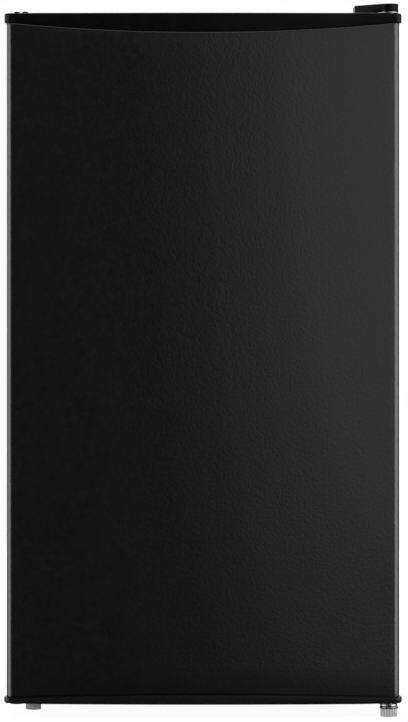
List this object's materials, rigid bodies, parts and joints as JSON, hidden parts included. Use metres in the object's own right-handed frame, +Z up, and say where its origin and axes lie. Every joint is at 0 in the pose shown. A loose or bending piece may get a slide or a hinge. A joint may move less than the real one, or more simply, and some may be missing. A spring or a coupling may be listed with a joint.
{
  "type": "mini fridge",
  "caption": "Free-standing compact refrigerator with one bowed black door, end caps, a covered top hinge, levelling feet, an ice box, glass shelves, door racks and a rear wire condenser.",
  "frame": {"origin": "on the floor under the middle of the overall box", "axes": "+Z up, front of the door towards -Y, hinge side towards +X"},
  "size_m": [0.4732, 0.45, 0.8534],
  "materials": {
    "black_textured_steel": "fine textured satin black paint on steel",
    "black_cap_plastic": "satin black moulded plastic",
    "black_steel": "satin black paint on steel",
    "dark_back_steel": "dark grey painted sheet",
    "frame_steel": "black painted steel border",
    "zinc_steel": "zinc plated",
    "white_liner": "glossy white formed liner",
    "clear_tray_plastic": "white translucent plastic",
    "flap_plastic": "white moulded plastic",
    "trim_plastic": "white trim",
    "knob_plastic": "white moulded plastic",
    "shelf_glass": "clear tempered glass, green edge",
    "foam": "rigid insulation, hidden",
    "seal_rubber": "soft dark seal",
    "grey_foot_plastic": "grey moulded plastic",
    "compressor_paint": "black enamel",
    "black_tube_steel": "black painted steel tube",
    "copper": "drawn copper",
    "evaporator_aluminium": "anodised roll-bond sheet",
    "pan_plastic": "dark moulded pan"
  },
  "bodies": {
    "cabinet": {"cabinet_wrapper": "black_steel", "back_panel": "dark_back_steel", "bottom_panel": "dark_back_steel", "compartment_wall": "dark_back_steel", "front_frame": "frame_steel", "inner_liner": "white_liner", "cabinet_insulation": "foam", "upper_hinge_plate": "zinc_steel", "upper_hinge_cover": "black_cap_plastic", "hinge_screws": "zinc_steel", "hinge_backing_plates": "zinc_steel", "hinge_screw_plugs": "black_cap_plastic", "lower_hinge_bracket": "zinc_steel", "lower_hinge_pin": "zinc_steel", "foot_insert": "grey_foot_plastic", "compressor_base": "zinc_steel", "rear_feet": "grey_foot_plastic", "cord_gland": "seal_rubber", "compressor_shell": "compressor_paint", "compressor_grommets": "seal_rubber", "compressor_bolts": "zinc_steel", "terminal_cover": "compressor_paint", "evaporation_pan": "pan_plastic", "drain_tube": "seal_rubber", "suction_tube": "copper", "process_tube": "copper", "discharge_tube": "black_tube_steel", "condenser_coil": "black_tube_steel", "condenser_outlet": "black_tube_steel", "condenser_wires": "black_tube_steel", "condenser_brackets": "black_cap_plastic", "filter_drier": "copper", "capillary_tube": "copper", "wall_spacers": "black_cap_plastic", "evaporator_box": "evaporator_aluminium", "evaporator_hangers": "white_liner", "ice_box_frame": "white_liner", "drip_tray_rails": "trim_plastic", "upper_shelf_glass": "shelf_glass", "upper_shelf_front_trim": "trim_plastic", "lower_shelf_glass": "shelf_glass", "lower_shelf_front_trim": "trim_plastic", "thermostat_housing": "white_liner", "thermostat_switch": "trim_plastic"},
    "door": {"door_outer_panel": "black_textured_steel", "door_top_cap": "black_cap_plastic", "pivot_hole_plugs": "black_cap_plastic", "door_bottom_cap": "black_cap_plastic", "lower_hinge_bush": "grey_foot_plastic", "door_insulation": "foam", "door_liner": "white_liner", "door_rack_lower": "clear_tray_plastic", "door_rack_middle": "clear_tray_plastic", "door_rack_upper": "clear_tray_plastic", "door_gasket": "seal_rubber"},
    "ice_flap": {"ice_box_door": "flap_plastic"},
    "tray": {"drip_tray": "clear_tray_plastic"},
    "control_knob": {"thermostat_knob": "knob_plastic"},
    "left_foot": {"front_foot_left": "grey_foot_plastic"},
    "right_foot": {"front_foot_right": "grey_foot_plastic"}
  },
  "joints": [
    {"name": "door_hinge", "type": "hinge", "parent": "cabinet", "child": "door", "pos_m": [0.2216, -0.199, 0.4], "axis": [0, 0, 1], "range_deg": [0, 130]},
    {"name": "ice_flap_hinge", "type": "hinge", "parent": "cabinet", "child": "ice_flap", "pos_m": [0, -0.0645, 0.6725], "axis": [1, 0, 0], "range_deg": [0, 90]},
    {"name": "drip_tray_slide", "type": "slide", "parent": "cabinet", "child": "tray", "axis": [0, -1, 0], "range_m": [0, 0.09]},
    {"name": "control_knob_turn", "type": "hinge", "parent": "cabinet", "child": "control_knob", "pos_m": [0.16, -0.036, 0.588], "axis": [1, 0, 0], "range_deg": [0, 290]},
    {"name": "left_foot_screw", "type": "slide", "parent": "cabinet", "child": "left_foot", "axis": [0, 0, -1], "range_m": [0, 0.01]},
    {"name": "right_foot_screw", "type": "slide", "parent": "cabinet", "child": "right_foot", "axis": [0, 0, -1], "range_m": [0, 0.01]}
  ]
}
